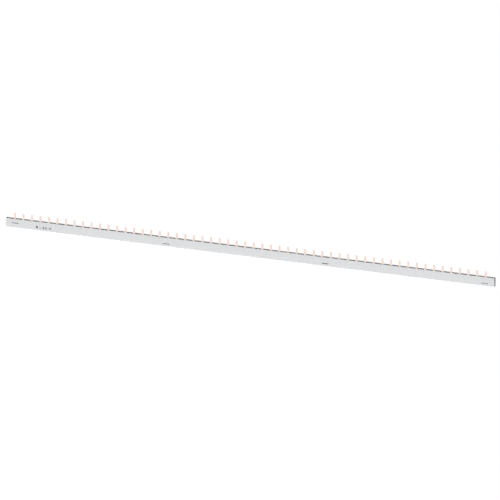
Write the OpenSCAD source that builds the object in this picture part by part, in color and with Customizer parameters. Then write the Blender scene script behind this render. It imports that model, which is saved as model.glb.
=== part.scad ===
// Single-phase comb busbar for a row of modular circuit breakers.
// A stamped copper comb stands in the slot of an extruded insulating profile,
// and a plug-in cap closes the profile at each end.
// X runs along the bar, Y from the front face (-) to the back face (+), Z up.
// The origin is the middle of the underside, and the pins point up.

/* [Bar] */
// Number of pins on the comb
pin_count = 56; // [4:1:60]
// Distance from one pin to the next: one module of a distribution board
pin_pitch = 17.8; // [17.5:0.1:18.5]
// Distance from each end of the bar to the middle of its outermost pin
end_margin = 18.5; // [16:0.5:24]

/* [Insulating profile] */
// Height of the profile
profile_height = 17.6; // [17:0.1:20]
// Depth of the profile, front face to back face
profile_depth = 7; // [6.8:0.1:9]
// Thickness of the outer walls
wall = 0.8; // [0.6:0.05:1]
// Thickness of the web between the slot and the hollow chamber
web = 0.8; // [0.6:0.05:1]
// Thickness of the floor
floor_thickness = 1.2; // [0.8:0.1:1.6]
// Radius of the long outer edges
edge_radius = 0.4; // [0.2:0.05:0.6]
// Width of the slot's open mouth
mouth_width = 2.7; // [2.2:0.1:3]
// Depth of the mouth, before the slot narrows to the comb
mouth_depth = 3; // [2:0.1:4]
// Height of the slope from the mouth down to the narrow slot
mouth_slope = 1.2; // [0.6:0.1:2]
// Height of the small ribs that steady the comb from behind
rib_height = 0.15; // [0.05:0.01:0.18]

/* [Locking dimples] */
// Diameter of the round dimple pressed into the front wall below each pin
dimple_diameter = 5.2; // [3:0.1:6]
// Depth of the dimple
dimple_depth = 0.4; // [0.1:0.05:0.5]
// Distance from the profile's top edge down to the dimple's middle
dimple_drop = 3.2; // [3:0.1:8]

/* [Copper comb] */
// Thickness of the copper strip
strip_thickness = 1.5; // [1:0.1:1.6]
// Height of the spine that joins the pins
spine_height = 10.7; // [8:0.1:11]
// Width of a pin's root, where it leaves the spine
root_width = 3.9; // [3.3:0.1:6]
// Width of a pin above its shoulder
pin_width = 3.15; // [2:0.05:3.2]
// Height of the pins above the profile
pin_rise = 11.3; // [8:0.1:14]
// Height of the shoulder above the profile, where the root ends
shoulder_rise = 2.4; // [1:0.1:4]
// Height of the taper from root to pin
shoulder_taper = 0.6; // [0.2:0.1:1]
// Radius between a root and the spine
root_fillet = 1.5; // [0.5:0.1:2]
// Bevel on the edges of a pin's tip
tip_bevel = 0.25; // [0.1:0.05:0.4]

/* [End caps] */
// Thickness of the cap's end plate
cap_plate = 1.2; // [0.8:0.1:2]
// How far the end plate stands proud of the profile's front, back and top
cap_overhang = 0.1; // [0:0.05:0.3]
// Bevel round the outer face of the end plate
cap_bevel = 0.3; // [0.1:0.1:0.6]
// Length of the plug inside the profile
plug_length = 9.5; // [6:0.5:10]
// Bevel on the plug's nose, to lead it in
plug_bevel = 0.6; // [0.2:0.1:1]
// Free space round the plug
plug_clearance = 0.08; // [0.05:0.01:0.15]

/* [Hidden] */

$fn = 48;
cut = 1; // how far a cutting shape runs past a face
comb_clearance = 0.2; // behind the strip, which bears on the front wall
plug_to_comb = 0.3; // from the nose of a plug to the end of the spine

bar_length = (pin_count - 1) * pin_pitch + 2 * end_margin;
profile_length = bar_length - 2 * cap_plate;
spine_length = profile_length - 2 * (plug_length + plug_to_comb);
first_pin_x = -(pin_count - 1) * pin_pitch / 2;

front_y = -profile_depth / 2;
slot_front_y = front_y + wall;
slot_back_y = slot_front_y + strip_thickness + comb_clearance;
mouth_back_y = slot_front_y + mouth_width;
chamber_back_y = profile_depth / 2 - wall;

slope_top_z = profile_height - mouth_depth;
slope_bottom_z = slope_top_z - mouth_slope;
rib_zs = [floor_thickness + spine_height / 4, floor_thickness + spine_height * 3 / 4];

spine_top_z = floor_thickness + spine_height;
shoulder_z = profile_height + shoulder_rise;
tip_z = profile_height + pin_rise;

profile_colour = [0.87, 0.88, 0.88];
cap_colour = [0.84, 0.85, 0.85];
copper_colour = [0.93, 0.78, 0.70];

// Lays a section drawn in Y and Z along X, from x = 0 to x = length
module along_x(length) {
    rotate([90, 0, 90]) linear_extrude(length) children();
}

// Repeats a child at every pin
module at_each_pin() {
    for (i = [0 : pin_count - 1]) translate([first_pin_x + i * pin_pitch, 0, 0]) children();
}

// Outer section with its four long edges rounded; proud adds to it all round but underneath
module outer_section(proud = 0) {
    half_depth = profile_depth / 2 + proud;
    height = profile_height + proud;
    reach_y = half_depth - edge_radius;
    translate([-half_depth, edge_radius]) square([2 * half_depth, height - 2 * edge_radius]);
    translate([-reach_y, 0]) square([2 * reach_y, height]);
    for (y = [-reach_y, reach_y], z = [edge_radius, height - edge_radius])
        translate([y, z]) circle(edge_radius);
}

// Section of the slot, narrow round the comb and wide at the mouth; gap makes it smaller all round
module slot_section(top_z, gap = 0) {
    polygon([
        [slot_front_y + gap, floor_thickness + gap],
        [slot_back_y - gap, floor_thickness + gap],
        [slot_back_y - gap, slope_bottom_z],
        [mouth_back_y - gap, slope_top_z],
        [mouth_back_y - gap, top_z],
        [slot_front_y + gap, top_z]
    ]);
}

// Section of the closed chamber behind the slot, which follows the slot's back at one web thickness
module chamber_section(gap = 0) {
    polygon([
        [slot_back_y + web + gap, floor_thickness + gap],
        [chamber_back_y - gap, floor_thickness + gap],
        [chamber_back_y - gap, profile_height - wall - gap],
        [mouth_back_y + web + gap, profile_height - wall - gap],
        [mouth_back_y + web + gap, slope_top_z],
        [slot_back_y + web + gap, slope_bottom_z]
    ]);
}

// Ribs on the back of the slot, seen end on
module rib_sections() {
    for (z = rib_zs) translate([slot_back_y, z]) circle(rib_height);
}

// Section of the extruded profile
module profile_section() {
    difference() {
        outer_section();
        difference() {
            slot_section(profile_height + cut);
            rib_sections();
        }
        chamber_section();
    }
}

// Shallow spherical dish in the front wall
module dimple() {
    ball_radius = (pow(dimple_diameter / 2, 2) + pow(dimple_depth, 2)) / (2 * dimple_depth);
    translate([0, front_y + dimple_depth - ball_radius, profile_height - dimple_drop])
        sphere(ball_radius);
}

module profile() {
    color(profile_colour)
        difference() {
            translate([-profile_length / 2, 0, 0]) along_x(profile_length) profile_section();
            at_each_pin() dimple();
        }
}

// Outline of one pin, drawn in X and Z from the spine's top edge to the tip
module pin_outline() {
    polygon([
        [-root_width / 2, spine_top_z - cut],
        [root_width / 2, spine_top_z - cut],
        [root_width / 2, shoulder_z - shoulder_taper],
        [pin_width / 2, shoulder_z],
        [pin_width / 2, tip_z - tip_bevel],
        [pin_width / 2 - tip_bevel, tip_z],
        [-pin_width / 2 + tip_bevel, tip_z],
        [-pin_width / 2, tip_z - tip_bevel],
        [-pin_width / 2, shoulder_z],
        [-root_width / 2, shoulder_z - shoulder_taper]
    ]);
}

// Hollow fillets where the two sides of a root meet the spine
module root_fillets() {
    for (side = [-1, 1])
        difference() {
            translate([side * (root_width + root_fillet) / 2, spine_top_z + (root_fillet - cut) / 2])
                square([root_fillet, root_fillet + cut], center = true);
            translate([side * (root_width / 2 + root_fillet), spine_top_z + root_fillet])
                circle(root_fillet);
        }
}

// Thickness of the strip seen end on, with the tip bevelled front and back
module strip_section() {
    back_y = slot_front_y + strip_thickness;
    polygon([
        [slot_front_y, floor_thickness],
        [back_y, floor_thickness],
        [back_y, tip_z - tip_bevel],
        [back_y - tip_bevel, tip_z],
        [slot_front_y + tip_bevel, tip_z],
        [slot_front_y, tip_z - tip_bevel]
    ]);
}

module comb() {
    color(copper_colour)
        intersection() {
            translate([0, slot_front_y + strip_thickness + cut, 0])
                rotate([90, 0, 0]) linear_extrude(strip_thickness + 2 * cut) {
                    translate([-spine_length / 2, floor_thickness]) square([spine_length, spine_height]);
                    at_each_pin() {
                        pin_outline();
                        root_fillets();
                    }
                }
            translate([-spine_length / 2 - cut, 0, 0]) along_x(spine_length + 2 * cut) strip_section();
        }
}

// Side view of the plug, in X and Z, with the lower corner of its nose cut back
module plug_side_view() {
    polygon([
        [-cut, -cut],
        [plug_length - plug_bevel, -cut],
        [plug_length - plug_bevel, floor_thickness + plug_clearance],
        [plug_length, floor_thickness + plug_clearance + plug_bevel],
        [plug_length, profile_height + cut],
        [-cut, profile_height + cut]
    ]);
}

// Outline of the end plate from x = -cap_plate to 0, with the corners of its outer face cut back
module plate_outline(low, high) {
    polygon([
        [0, low],
        [0, high],
        [-cap_plate + cap_bevel, high],
        [-cap_plate, high - cap_bevel],
        [-cap_plate, low + cap_bevel],
        [-cap_plate + cap_bevel, low]
    ]);
}

// End plate of a cap: the outer section, bevelled both as seen from above and from the front
module end_plate() {
    half_depth = profile_depth / 2 + cap_overhang;
    height = profile_height + cap_overhang;
    intersection() {
        translate([-cap_plate - cut, 0, 0]) along_x(cap_plate + 2 * cut) outer_section(cap_overhang);
        translate([0, 0, -cut]) linear_extrude(height + 2 * cut) plate_outline(-half_depth, half_depth);
        translate([0, half_depth + cut, 0])
            rotate([90, 0, 0]) linear_extrude(2 * (half_depth + cut)) plate_outline(0, height);
    }
}

// Cap for the end at -X, drawn with the end plate's inner face at x = 0
module end_cap() {
    color(cap_colour) {
        end_plate();
        intersection() {
            along_x(plug_length) {
                slot_section(profile_height, plug_clearance);
                chamber_section(plug_clearance);
            }
            translate([0, profile_depth, 0])
                rotate([90, 0, 0]) linear_extrude(2 * profile_depth) plug_side_view();
        }
    }
}

module end_cap_left() {
    translate([-profile_length / 2, 0, 0]) end_cap();
}

module end_cap_right() {
    mirror([1, 0, 0]) end_cap_left();
}

profile();
comb();
end_cap_left();
end_cap_right();
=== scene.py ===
# %% [markdown]
# # A one metre comb busbar
#
# A comb busbar feeds a whole row of circuit breakers at once. A copper strip is stamped
# into a comb, its pins stand one breaker apart, and a slotted plastic profile keeps
# fingers and tools away from the live spine. The CAD model already holds the true
# shapes. Blender's work here is the finish: what extruded plastic, moulded plastic
# and stamped copper do to light, and the small print on the front face.
#
# The imported model is loaded first and never moved. Its box before any work is kept.

# %% Load the frame
import math

import bmesh
import bpy
from mathutils import Matrix, Vector


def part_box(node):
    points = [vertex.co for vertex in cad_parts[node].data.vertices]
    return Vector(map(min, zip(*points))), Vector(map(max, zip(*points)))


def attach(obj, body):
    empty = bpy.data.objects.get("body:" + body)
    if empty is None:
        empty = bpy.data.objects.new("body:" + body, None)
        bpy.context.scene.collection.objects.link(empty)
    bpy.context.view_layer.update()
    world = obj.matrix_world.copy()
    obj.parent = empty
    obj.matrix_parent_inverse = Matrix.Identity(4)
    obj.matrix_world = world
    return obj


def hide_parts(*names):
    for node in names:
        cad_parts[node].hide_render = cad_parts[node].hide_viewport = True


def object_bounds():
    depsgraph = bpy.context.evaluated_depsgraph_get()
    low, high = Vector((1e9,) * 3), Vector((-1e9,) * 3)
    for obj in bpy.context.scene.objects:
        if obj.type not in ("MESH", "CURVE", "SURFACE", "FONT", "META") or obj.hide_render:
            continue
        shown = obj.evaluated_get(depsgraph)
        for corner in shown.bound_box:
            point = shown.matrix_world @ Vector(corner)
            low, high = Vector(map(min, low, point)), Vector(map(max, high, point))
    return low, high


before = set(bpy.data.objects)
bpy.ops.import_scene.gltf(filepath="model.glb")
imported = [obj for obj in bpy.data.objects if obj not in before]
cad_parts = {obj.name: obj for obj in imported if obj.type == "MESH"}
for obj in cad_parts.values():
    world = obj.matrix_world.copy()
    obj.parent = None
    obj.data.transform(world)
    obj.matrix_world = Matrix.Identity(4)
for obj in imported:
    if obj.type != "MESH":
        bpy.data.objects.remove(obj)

cad_low, cad_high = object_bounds()
MM = 0.001
print("CAD box in mm:", [round(side / MM, 2) for side in cad_high - cad_low])

# %% [markdown]
# ## Where the viewer stands
#
# The bar is seen from its front right, a little from above. A metre of bar that is only
# seven millimetres deep would taper strongly in a normal lens, so the camera stands far
# away with a very long lens. That keeps the bar's long edges parallel, as they are in a
# catalogue drawing, and still lets other views fit the whole bar, which an orthographic
# camera with a fixed width would cut off.
#
# The render is shown through the Standard view transform, so that a colour comes out as
# it is written.

# %% Camera
VIEW_AZIMUTH = math.radians(20.92)
VIEW_ELEVATION = math.radians(18.93)
VIEW_WIDTH = 0.97134  # metres across the picture, at the bar's middle
LENS_MM = 1700
AIM_RIGHT = 0.39 * MM  # from the middle of the bar's box to the middle of the picture
AIM_UP = -1.90 * MM

towards_camera = Vector((
    math.sin(VIEW_AZIMUTH) * math.cos(VIEW_ELEVATION),
    -math.cos(VIEW_AZIMUTH) * math.cos(VIEW_ELEVATION),
    math.sin(VIEW_ELEVATION),
))
camera_turn = (-towards_camera).to_track_quat("-Z", "Y")
camera_right = camera_turn @ Vector((1, 0, 0))
camera_up = camera_turn @ Vector((0, 1, 0))

lens = bpy.data.cameras.new("long_lens")
lens.lens = LENS_MM
camera_distance = VIEW_WIDTH * lens.lens / lens.sensor_width
lens.clip_end = camera_distance * 1.5  # well behind the bar and its floor

camera = bpy.data.objects.new("camera", lens)
bpy.context.scene.collection.objects.link(camera)
aim = (cad_low + cad_high) / 2 + camera_right * AIM_RIGHT + camera_up * AIM_UP
camera.location = aim + towards_camera * camera_distance
camera.rotation_mode = "QUATERNION"
camera.rotation_quaternion = camera_turn
bpy.context.scene.camera = camera
bpy.context.scene.view_settings.view_transform = "Standard"
print("camera stands", round(camera_distance, 1), "m away")

# %% [markdown]
# ## Helpers for materials
#
# Colours are written as sRGB hex, the way a paint chip or a web page gives them, and one
# function turns them linear for Blender. A second function adds a shader node with its
# settings and its links in one call, so each material below reads as a short recipe.
#
# Nearly every finish on this bar is a grain of some kind: long and thin where metal was
# rolled or plastic was drawn through a die, round where a mould was spark eroded. So a
# third helper makes noise whose grains have a given size in millimetres along X, Y and Z.

# %% Colour and node helpers
def linear(hex_colour):
    """An sRGB colour such as #DFE0E1 as the linear RGBA that shaders want."""
    channels = [int(hex_colour[i:i + 2], 16) / 255 for i in (1, 3, 5)]
    return [c / 12.92 if c <= 0.04045 else ((c + 0.055) / 1.055) ** 2.4 for c in channels] + [1.0]


def add_node(material, kind, inputs=None, **settings):
    """Adds a node of that kind, sets its settings, and fills each input with a value or a link."""
    node = material.node_tree.nodes.new(kind)
    for name, value in settings.items():
        setattr(node, name, value)
    for name, value in (inputs or {}).items():
        if isinstance(value, bpy.types.NodeSocket):
            material.node_tree.links.new(value, node.inputs[name])
        else:
            node.inputs[name].default_value = value
    return node


def empty_material(name):
    """A material with an empty node tree."""
    material = bpy.data.materials.new(name)
    material.use_nodes = True
    material.node_tree.nodes.clear()
    return material


# %% Grain helper
def grain(material, size_mm, detail=2.0):
    """Noise fixed to the piece, with grains of a given size in mm along X, Y and Z."""
    place = add_node(material, "ShaderNodeTexCoord")
    scaled = add_node(material, "ShaderNodeMapping", {
        "Vector": place.outputs["Object"], "Scale": [1 / (side * MM) for side in size_mm]})
    noise = add_node(material, "ShaderNodeTexNoise", {
        "Vector": scaled.outputs[0], "Scale": 1.0, "Detail": detail, "Roughness": 0.5})
    return noise.outputs[0]


# %% [markdown]
# ## Floor and background
#
# The bar lies on a white sheet. To the camera, and in reflections, sheet and background
# are plain white. To the light they are a mid grey, so that they don't throw more light
# up at the bar than a real table would. The sheet still darkens a little in the bar's
# shadow, because part of its white comes from the lamps.

# %% Floor
FLOOR_HALF_WIDTH = 6.0
FLOOR_GREY = "#A8A8A8"
FLOOR_GLOW = 0.94
FLOOR_LIT = 0.35


def white_to_the_viewer(material):
    """1 on rays from the camera and on mirrored or refracted rays, 0 on rays that carry light."""
    path = add_node(material, "ShaderNodeLightPath")
    camera_or_glossy = add_node(material, "ShaderNodeMath", {
        0: path.outputs["Is Camera Ray"], 1: path.outputs["Is Glossy Ray"]}, operation="MAXIMUM")
    return add_node(material, "ShaderNodeMath", {
        0: camera_or_glossy.outputs[0], 1: path.outputs["Is Transmission Ray"]}, operation="MAXIMUM")


sheet = empty_material("white_backing_sheet")
seen = white_to_the_viewer(sheet)
glow = add_node(sheet, "ShaderNodeEmission", {"Color": linear("#FFFFFF"), "Strength": FLOOR_GLOW})
lit = add_node(sheet, "ShaderNodeBsdfDiffuse", {"Color": [FLOOR_LIT] * 3 + [1.0]})
seen_floor = add_node(sheet, "ShaderNodeAddShader", {0: glow.outputs[0], 1: lit.outputs[0]})
bounced = add_node(sheet, "ShaderNodeBsdfDiffuse", {"Color": linear(FLOOR_GREY)})
floor_mix = add_node(sheet, "ShaderNodeMixShader", {
    0: seen.outputs[0], 1: bounced.outputs[0], 2: seen_floor.outputs[0]})
add_node(sheet, "ShaderNodeOutputMaterial", {"Surface": floor_mix.outputs[0]})

floor_shape = bmesh.new()
bmesh.ops.create_grid(floor_shape, x_segments=1, y_segments=1, size=FLOOR_HALF_WIDTH)
floor_mesh = bpy.data.meshes.new("floor")
floor_shape.to_mesh(floor_mesh)
floor_shape.free()
floor_mesh.materials.append(sheet)
floor = bpy.data.objects.new("floor", floor_mesh)
bpy.context.scene.collection.objects.link(floor)
print("floor spans", 2 * FLOOR_HALF_WIDTH, "m")

# %% [markdown]
# ## World
#
# Past the sheet there is only the world. It has the same two sides: white where it is
# seen or mirrored, and a dim even light for everything else. The dim part fills the
# shadows, and it stays low so that the lamps decide which faces are bright.

# %% World
WORLD_LIGHT = 0.13

world = bpy.data.worlds.new("studio")
bpy.context.scene.world = world
world.use_nodes = True
world.node_tree.nodes.clear()
seen_world = white_to_the_viewer(world)
dim_sky = add_node(world, "ShaderNodeBackground", {"Color": linear("#FFFFFF"), "Strength": WORLD_LIGHT})
white_sky = add_node(world, "ShaderNodeBackground", {"Color": linear("#FFFFFF"), "Strength": 1.0})
sky = add_node(world, "ShaderNodeMixShader", {
    0: seen_world.outputs[0], 1: dim_sky.outputs[0], 2: white_sky.outputs[0]})
add_node(world, "ShaderNodeOutputWorld", {"Surface": sky.outputs[0]})
print("world lights at", WORLD_LIGHT)

# %% [markdown]
# ## Lamps
#
# The front face is even and bright from end to end, and the narrow top and the right end
# are much darker. So the main light comes from the front, a little from the left and low
# over the sheet. It is a sun lamp, because its light is the same at both ends of a metre
# of bar, where a panel a few metres off would already fade. A lamp's angle softens the
# shadows. It is never more than twice the lamp's height above the sheet, so that the
# sheet hides no part of the lamp: a half hidden lamp makes an even face grainy.
#
# A faint second lamp at the right shapes the right end. A third stands behind, so that
# the back is lit too when the bar is turned round. It stands well to the left, because
# from right opposite the camera it would shine off the narrow top.

# %% Lamps
def add_distant_light(name, azimuth, elevation, angle, strength):
    """A soft light from far away; all angles in degrees, azimuth 0 in front and 90 at the right."""
    lamp = bpy.data.lights.new(name, "SUN")
    lamp.energy = strength
    lamp.angle = math.radians(angle)
    light = bpy.data.objects.new(name, lamp)
    bpy.context.scene.collection.objects.link(light)
    light.rotation_mode = "QUATERNION"
    across, up = math.radians(azimuth), math.radians(elevation)
    light.rotation_quaternion = Vector((
        math.sin(across) * math.cos(up), -math.cos(across) * math.cos(up), math.sin(up),
    )).to_track_quat("Z", "Y")
    print(name, "at", strength)


add_distant_light("front_light", azimuth=-24, elevation=2.6, angle=5, strength=2.88)
add_distant_light("right_light", azimuth=80, elevation=5, angle=10, strength=0.42)
add_distant_light("back_light", azimuth=225, elevation=1.5, angle=3, strength=2.6)

# %% [markdown]
# ## Extruded plastic
#
# The long profile is rigid PVC, pushed hot through a steel die. The die's edge leaves
# fine lines along the whole bar, the belts that haul the profile off leave a waviness
# that only a long reflection shows, and the grey is never mixed quite evenly, so it
# drifts in long streaks. All of it runs along X. An image of it would have to be a metre
# long, so it is three noise patterns instead, stretched along the bar. To the eye it is
# an even, satin light grey, and the lines show only close up.

# %% Extruded plastic
EXTRUDED_GREY = "#DEDFE0"
STREAK_GREY = "#D9DADC"
DIE_LINE_MM = (160, 0.35, 0.35)
STREAK_MM = (260, 3, 3)
HAUL_WAVE_MM = (45, 9, 9)
DIE_LINE_HEIGHT = 0.02 * MM
HAUL_WAVE_HEIGHT = 0.05 * MM
SMOOTHEST_PVC, ROUGHEST_PVC = 0.72, 0.8
PVC_IOR = 1.53
COLOUR_A, COLOUR_B, MIXED_COLOUR = 6, 7, 2  # the colour sockets of a Mix node

extruded = empty_material("extruded_grey_pvc")
die_lines = grain(extruded, DIE_LINE_MM)
streaks = grain(extruded, STREAK_MM)
waves = grain(extruded, HAUL_WAVE_MM, detail=0.0)
extruded_colour = add_node(extruded, "ShaderNodeMix", {
    0: streaks, COLOUR_A: linear(EXTRUDED_GREY), COLOUR_B: linear(STREAK_GREY)}, data_type="RGBA")
extruded_satin = add_node(extruded, "ShaderNodeMapRange", {
    "Value": die_lines, "To Min": SMOOTHEST_PVC, "To Max": ROUGHEST_PVC})
wave_bump = add_node(extruded, "ShaderNodeBump", {
    "Height": waves, "Strength": 0.3, "Distance": HAUL_WAVE_HEIGHT})
line_bump = add_node(extruded, "ShaderNodeBump", {
    "Height": die_lines, "Strength": 0.25, "Distance": DIE_LINE_HEIGHT,
    "Normal": wave_bump.outputs[0]})
extruded_surface = add_node(extruded, "ShaderNodeBsdfPrincipled", {
    "Base Color": extruded_colour.outputs[MIXED_COLOUR], "Roughness": extruded_satin.outputs[0],
    "IOR": PVC_IOR, "Normal": line_bump.outputs[0]})
add_node(extruded, "ShaderNodeOutputMaterial", {"Surface": extruded_surface.outputs[0]})
print(extruded.name, "die lines", DIE_LINE_MM[1], "mm apart")

# %% [markdown]
# ## Moulded plastic
#
# The end caps are ABS, moulded in a cavity that was spark eroded. That leaves a fine,
# even, pebbled skin with no direction at all, a touch duller than the extrusion. Real
# spark grain is about 0.1 mm across and would vanish at this size, so it is drawn three
# times as coarse. The same grain drives the bump and the roughness, since the tops of
# the pebbles are rubbed smoother than the pits. It also paints the pits a little darker
# than the tops, which is painted shade in the hollows of the grain.

# %% Moulded plastic
CAP_GREY = "#E7E8E8"
# The darker grey of the pits is painted shade in the hollows of the grain.
CAP_PIT_SHADE_GREY = "#DEDFE0"
SPARK_GRAIN_MM = (0.3, 0.3, 0.3)
SPARK_GRAIN_HEIGHT = 0.03 * MM
PIT_ROUGHNESS = 0.85
PEBBLE_TOP_ROUGHNESS = 0.75
ABS_IOR = 1.54

moulded = empty_material("spark_textured_grey_abs")
pebbles = grain(moulded, SPARK_GRAIN_MM, detail=3.0)
# Darker in the pits than on the pebble tops: painted shade.
pebble_colour_with_pit_shade = add_node(moulded, "ShaderNodeMix", {
    0: pebbles, COLOUR_A: linear(CAP_PIT_SHADE_GREY), COLOUR_B: linear(CAP_GREY)}, data_type="RGBA")
pebble_satin = add_node(moulded, "ShaderNodeMapRange", {
    "Value": pebbles, "To Min": PIT_ROUGHNESS, "To Max": PEBBLE_TOP_ROUGHNESS})
pebble_bump = add_node(moulded, "ShaderNodeBump", {
    "Height": pebbles, "Strength": 0.35, "Distance": SPARK_GRAIN_HEIGHT})
cap_surface = add_node(moulded, "ShaderNodeBsdfPrincipled", {
    "Base Color": pebble_colour_with_pit_shade.outputs[MIXED_COLOUR], "Roughness": pebble_satin.outputs[0],
    "IOR": ABS_IOR, "Normal": pebble_bump.outputs[0]})
add_node(moulded, "ShaderNodeOutputMaterial", {"Surface": cap_surface.outputs[0]})
print(moulded.name, "grain", SPARK_GRAIN_MM[0], "mm")

# %% [markdown]
# ## Rolled copper
#
# The comb starts as a copper strip from a rolling mill. The rolls leave fine lines along
# the strip, which stretch a reflection across them, and the bare metal has begun to
# tarnish in soft clouds, a little redder and duller than the bright copper round them.
# Copper is a metal, so its colour is the colour of its reflections, and it keeps the
# shader's own IOR. Mill lines are about 0.02 mm apart, and they are drawn at 0.2 mm so
# that they can be seen at all.

# %% Rolled copper
BRIGHT_COPPER = "#EAD3CA"
TARNISHED_COPPER = "#E0BDAF"
MILL_LINE_MM = (30, 0.2, 0.2)
MILL_LINE_HEIGHT = 0.01 * MM
TARNISH_CLOUD_MM = (7, 7, 7)
CLOUD_EDGE, CLOUD_HEART = 0.45, 0.8  # the noise values where a cloud starts and is densest
DENSEST_TARNISH = 0.6
BRIGHT_ROUGHNESS, CLOUDY_ROUGHNESS = 0.14, 0.22

rolled = empty_material("rolled_copper")
mill_lines = grain(rolled, MILL_LINE_MM)
clouds = grain(rolled, TARNISH_CLOUD_MM)
tarnish = add_node(rolled, "ShaderNodeMapRange", {
    "Value": clouds, "From Min": CLOUD_EDGE, "From Max": CLOUD_HEART, "To Max": DENSEST_TARNISH})
rolled_colour = add_node(rolled, "ShaderNodeMix", {
    0: tarnish.outputs[0], COLOUR_A: linear(BRIGHT_COPPER), COLOUR_B: linear(TARNISHED_COPPER)},
    data_type="RGBA")
rolled_polish = add_node(rolled, "ShaderNodeMapRange", {
    "Value": clouds, "To Min": BRIGHT_ROUGHNESS, "To Max": CLOUDY_ROUGHNESS})
mill_bump = add_node(rolled, "ShaderNodeBump", {
    "Height": mill_lines, "Strength": 0.2, "Distance": MILL_LINE_HEIGHT})
rolled_surface = add_node(rolled, "ShaderNodeBsdfPrincipled", {
    "Base Color": rolled_colour.outputs[MIXED_COLOUR], "Metallic": 1.0,
    "Roughness": rolled_polish.outputs[0], "Normal": mill_bump.outputs[0]})
add_node(rolled, "ShaderNodeOutputMaterial", {"Surface": rolled_surface.outputs[0]})
print(rolled.name, "mill lines", MILL_LINE_MM[1], "mm apart")

# %% [markdown]
# ## Sheared copper
#
# Where the press cut the comb out of the strip, the metal looks different. The punch
# first slides in and burnishes a bright band, about a third of the thickness, and then
# the rest tears away with a matt, uneven break. Fine score lines cross the cut from the
# front of the strip to its back, so on these faces the grain is long in Y. The border
# between band and break wanders, so the place across the thickness is disturbed by
# noise before it is turned into a roughness and a colour.

# %% Sheared copper
BURNISHED_COPPER = "#EDCDBF"
TORN_COPPER = "#CF9F8A"
SCORE_LINE_MM = (0.25, 6, 0.25)
SCORE_LINE_HEIGHT = 0.02 * MM
BURNISHED_SHARE = 0.35
BORDER_WANDER = 0.3
BORDER_BLUR = 0.1
BURNISHED_ROUGHNESS, TORN_ROUGHNESS = 0.2, 0.45

comb_low, comb_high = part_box("comb")
sheared = empty_material("sheared_copper_edge")
score_lines = grain(sheared, SCORE_LINE_MM)
cut_place = add_node(sheared, "ShaderNodeTexCoord")
cut_axes = add_node(sheared, "ShaderNodeSeparateXYZ", {0: cut_place.outputs["Object"]})
across = add_node(sheared, "ShaderNodeMapRange", {
    "Value": cut_axes.outputs["Y"], "From Min": comb_low.y, "From Max": comb_high.y})
wander = add_node(sheared, "ShaderNodeMapRange", {
    "Value": score_lines, "To Min": -BORDER_WANDER, "To Max": BORDER_WANDER})
wandering = add_node(sheared, "ShaderNodeMath", {
    0: across.outputs[0], 1: wander.outputs[0]}, operation="ADD")
torn = add_node(sheared, "ShaderNodeMapRange", {
    "Value": wandering.outputs[0],
    "From Min": BURNISHED_SHARE - BORDER_BLUR, "From Max": BURNISHED_SHARE + BORDER_BLUR})
sheared_colour = add_node(sheared, "ShaderNodeMix", {
    0: torn.outputs[0], COLOUR_A: linear(BURNISHED_COPPER), COLOUR_B: linear(TORN_COPPER)},
    data_type="RGBA")
sheared_polish = add_node(sheared, "ShaderNodeMapRange", {
    "Value": torn.outputs[0], "To Min": BURNISHED_ROUGHNESS, "To Max": TORN_ROUGHNESS})
score_bump = add_node(sheared, "ShaderNodeBump", {
    "Height": score_lines, "Strength": 0.4, "Distance": SCORE_LINE_HEIGHT})
sheared_surface = add_node(sheared, "ShaderNodeBsdfPrincipled", {
    "Base Color": sheared_colour.outputs[MIXED_COLOUR], "Metallic": 1.0,
    "Roughness": sheared_polish.outputs[0], "Normal": score_bump.outputs[0]})
add_node(sheared, "ShaderNodeOutputMaterial", {"Surface": sheared_surface.outputs[0]})
print(sheared.name, "strip is", round((comb_high.y - comb_low.y) / MM, 2), "mm thick")

# %% [markdown]
# ## The comb, with its edges rolled
#
# A press never leaves a knife edge: the outline of a stamped part is rolled over by a
# tenth of a millimetre. Those thin rounded edges catch the light, and without them the
# pins look like paper. The CAD comb is left as it is. A copy of its mesh is merged,
# flat faces are joined into single polygons, and every right-angled edge is bevelled.
# The tips already have their own bevel, and a second one on it would only add facets
# that flash. A Bevel modifier could do the same, but its result would still carry the
# loose triangles.
#
# The copy takes two materials. Faces that look to the front or the back are rolled
# strip, and all the others were cut by the press.

# %% Comb with rolled edges
EDGE_ROLL = 0.1 * MM
MERGE_DISTANCE = 0.001 * MM
FLAT_ANGLE = math.radians(1)
SHARP_ANGLE = math.radians(60)
SMOOTH_ANGLE = math.radians(9)
STRAIGHT_ON = 0.99  # the Y part of a normal from which its face counts as front or back

comb_shape = bmesh.new()
comb_shape.from_mesh(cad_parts["comb"].data)
bmesh.ops.remove_doubles(comb_shape, verts=comb_shape.verts, dist=MERGE_DISTANCE)
bmesh.ops.dissolve_limit(
    comb_shape, angle_limit=FLAT_ANGLE, verts=comb_shape.verts, edges=comb_shape.edges)
for face in comb_shape.faces:
    face.material_index = 0 if abs(face.normal.y) > STRAIGHT_ON else 1
    face.smooth = True
sharp_edges = [edge for edge in comb_shape.edges if edge.calc_face_angle(0) > SHARP_ANGLE]
bmesh.ops.bevel(
    comb_shape, geom=sharp_edges, offset=EDGE_ROLL, offset_type="OFFSET", affect="EDGES",
    segments=2, profile=0.5, material=-1, clamp_overlap=True)
print("comb:", len(sharp_edges), "edges rolled,", len(comb_shape.faces), "faces")

comb_mesh = bpy.data.meshes.new("comb_with_rolled_edges")
comb_shape.to_mesh(comb_mesh)
comb_shape.free()
comb_mesh.set_sharp_from_angle(angle=SMOOTH_ANGLE)
comb_mesh.materials.append(rolled)
comb_mesh.materials.append(sheared)
comb = bpy.data.objects.new("comb_with_rolled_edges", comb_mesh)
bpy.context.scene.collection.objects.link(comb)
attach(comb, "root")
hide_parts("comb")

# %% [markdown]
# ## Ink
#
# The front face is pad printed: a soft pad carries a film of dark ink to the plastic.
# The film is matt, and it is thinner where the pad let go early, so its grey is a little
# blotchy. It is a plain non-metal with a mottled colour. The blotches are drawn at half
# a millimetre, about twice their real size.

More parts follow.
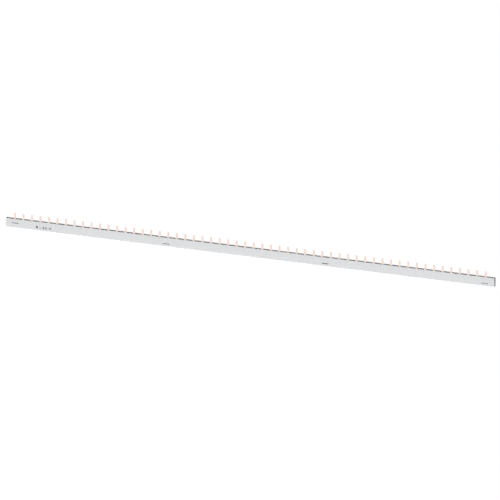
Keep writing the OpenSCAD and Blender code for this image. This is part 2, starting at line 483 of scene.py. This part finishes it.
# %% Ink
INK_DARK = "#3A3B3E"
INK_THIN = "#626366"
BLOTCH_MM = (0.5, 0.5, 0.5)
BLOTCH_HEIGHT = 0.01 * MM
FULL_INK, THINNEST_INK = 0.35, 0.75  # the noise values between which the film thins out
INK_ROUGHNESS = 0.7
INK_IOR = 1.5

ink = empty_material("pad_printed_grey_ink")
blotches = grain(ink, BLOTCH_MM, detail=3.0)
thinning = add_node(ink, "ShaderNodeMapRange", {
    "Value": blotches, "From Min": FULL_INK, "From Max": THINNEST_INK})
ink_colour = add_node(ink, "ShaderNodeMix", {
    0: thinning.outputs[0], COLOUR_A: linear(INK_DARK), COLOUR_B: linear(INK_THIN)}, data_type="RGBA")
ink_bump = add_node(ink, "ShaderNodeBump", {
    "Height": blotches, "Strength": 0.2, "Distance": BLOTCH_HEIGHT})
ink_surface = add_node(ink, "ShaderNodeBsdfPrincipled", {
    "Base Color": ink_colour.outputs[MIXED_COLOUR], "Roughness": INK_ROUGHNESS, "IOR": INK_IOR,
    "Normal": ink_bump.outputs[0]})
add_node(ink, "ShaderNodeOutputMaterial", {"Surface": ink_surface.outputs[0]})
print(ink.name, "blotches", BLOTCH_MM[0], "mm")

# %% [markdown]
# ## Print on the front face
#
# Such bars carry a small print that comes round about every third of a metre, and one
# row of small signs near the left end. Here they are plain marks with no meaning:
# dashed lines, and a row of one block, dots, strokes and bars. Each mark is a slab with
# rounded corners that starts just inside the plastic and ends just in front of it, so
# it stays crisp at any distance. A real ink film is a hundredth of a millimetre thick.
# These stand out by 0.05 mm, which is still less than the end caps do.

# %% Printed mark helper
INK_PROUD = 0.05 * MM
INK_SUNK = 0.05 * MM
ink_depth = INK_PROUD + INK_SUNK
profile_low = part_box("profile")[0]
ink_y = profile_low.y - INK_PROUD + ink_depth / 2


def add_mark(shape, from_left, from_bottom, size_mm):
    """A mark on the front face: its middle in mm from the bar's left end and underside, and its size."""
    width, height, corner = size_mm
    middle = Vector((cad_low.x + from_left * MM, ink_y, cad_low.z + from_bottom * MM))
    block = Matrix.Translation(middle) @ Matrix.Diagonal((width * MM, ink_depth, height * MM, 1))
    corners = bmesh.ops.create_cube(shape, size=1, matrix=block)["verts"]
    upright = {edge for vert in corners for edge in vert.link_edges
               if abs(edge.verts[0].co.y - edge.verts[1].co.y) > ink_depth / 2}
    bmesh.ops.bevel(
        shape, geom=list(upright), offset=corner * MM, offset_type="OFFSET", affect="EDGES",
        segments=4, profile=0.5, material=-1)


def finish_print(shape, name):
    """Turns printed marks into a piece that rides on the bar."""
    mesh = bpy.data.meshes.new(name)
    shape.to_mesh(mesh)
    shape.free()
    mesh.materials.append(ink)
    piece = bpy.data.objects.new(name, mesh)
    bpy.context.scene.collection.objects.link(piece)
    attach(piece, "root")
    print(name, len(mesh.polygons), "faces")


# %% Dashed lines
DASH_LINES_MM = ((19.2, 9.3), (335, 5), (666, 5), (996, 5))
DASHES = 4
DASH_MM = (2.9, 1.6, 0.64)  # width, height and corner radius
DASH_STEP_MM = 3.6

dash_shape = bmesh.new()
for line_x, line_z in DASH_LINES_MM:
    for dash in range(DASHES):
        add_mark(dash_shape, line_x + (dash - (DASHES - 1) / 2) * DASH_STEP_MM, line_z, DASH_MM)
finish_print(dash_shape, "printed_dashes")

# %% Row of small marks
ROW_MIDDLE_MM = 6.4
DOT_MIDDLE_MM = 5.4
BLOCK_MM = (3.6, 5.4, 0.6)
DOT_MM = (1.8, 1.8, 0.81)
STROKE_MM = (1.0, 5.0, 0.2)
BAR_MM = (1.2, 3.6, 0.3)
ROW_OF_MARKS = (  # each kind's size, the height of its middle, and its places from the left end
    (BLOCK_MM, ROW_MIDDLE_MM, (65.2,)),
    (DOT_MM, DOT_MIDDLE_MM, (71.4, 73.8)),
    (STROKE_MM, ROW_MIDDLE_MM, (78.0, 79.8, 83.2, 85.0)),
    (BAR_MM, ROW_MIDDLE_MM, (90.2, 92.2, 94.2)),
)

row_shape = bmesh.new()
for mark_size, middle, places in ROW_OF_MARKS:
    for place in places:
        add_mark(row_shape, place, middle, mark_size)
finish_print(row_shape, "printed_row")

# %% [markdown]
# ## Dress the CAD nodes
#
# The profile and the two caps have the right shape already, so they keep their meshes
# and only get their finish, by putting one material in their slots.

# %% Dress the nodes
FINISHES = {"profile": extruded, "end_cap_left": moulded, "end_cap_right": moulded}
for node_name, finish in FINISHES.items():
    node_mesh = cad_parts[node_name].data
    node_mesh.materials.clear()
    node_mesh.materials.append(finish)
    print(node_name, len(node_mesh.polygons), "faces in", finish.name)
